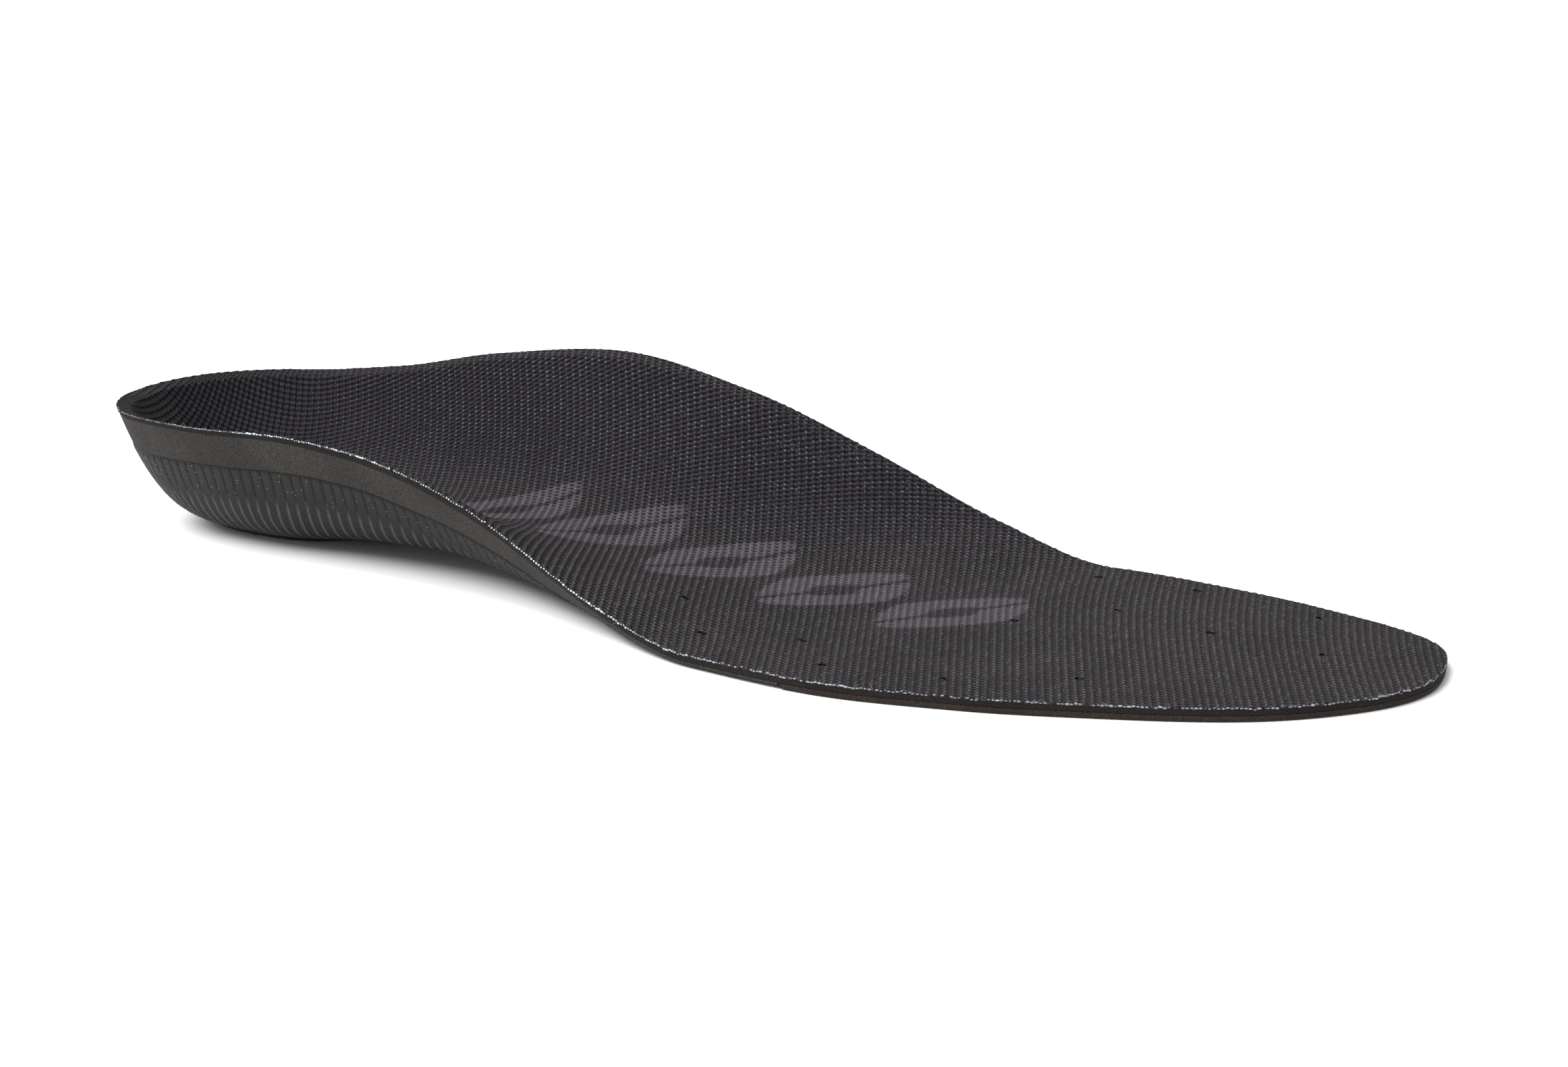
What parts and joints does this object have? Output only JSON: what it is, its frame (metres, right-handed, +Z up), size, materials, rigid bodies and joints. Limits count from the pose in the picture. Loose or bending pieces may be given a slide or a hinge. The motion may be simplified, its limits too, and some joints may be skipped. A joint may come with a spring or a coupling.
{
  "type": "cushioned insole",
  "caption": "Contoured full-length cushioned insole for a right shoe, with a deep heel cup, a high arch and a textured support shell under grey foam and a black knit cover.",
  "frame": {"origin": "centre of the insole's outline, on the surface it rests on", "axes": "+X from the heel towards the toe, +Y towards the arch (medial) side, +Z up towards the foot"},
  "size_m": [0.275, 0.0904, 0.0346],
  "materials": {
    "knit": "matt black knitted mesh",
    "black_foam": "black open-cell foam",
    "grey_foam": "speckled grey foam",
    "shell": "embossed dark grey moulding",
    "dark_foam": "dense brown-black foam",
    "heel_rubber": "smooth dark brown moulded pad",
    "gel": "soft gel",
    "stiffener": "satin moulded plate"
  },
  "bodies": {
    "root": {"top_cover": "knit", "cover_foam": "black_foam", "footbed_foam": "grey_foam", "support_shell": "shell", "forefoot_pad": "dark_foam", "heel_pad": "heel_rubber", "heel_cushion": "gel", "arch_stiffener": "stiffener"}
  },
  "joints": []
}
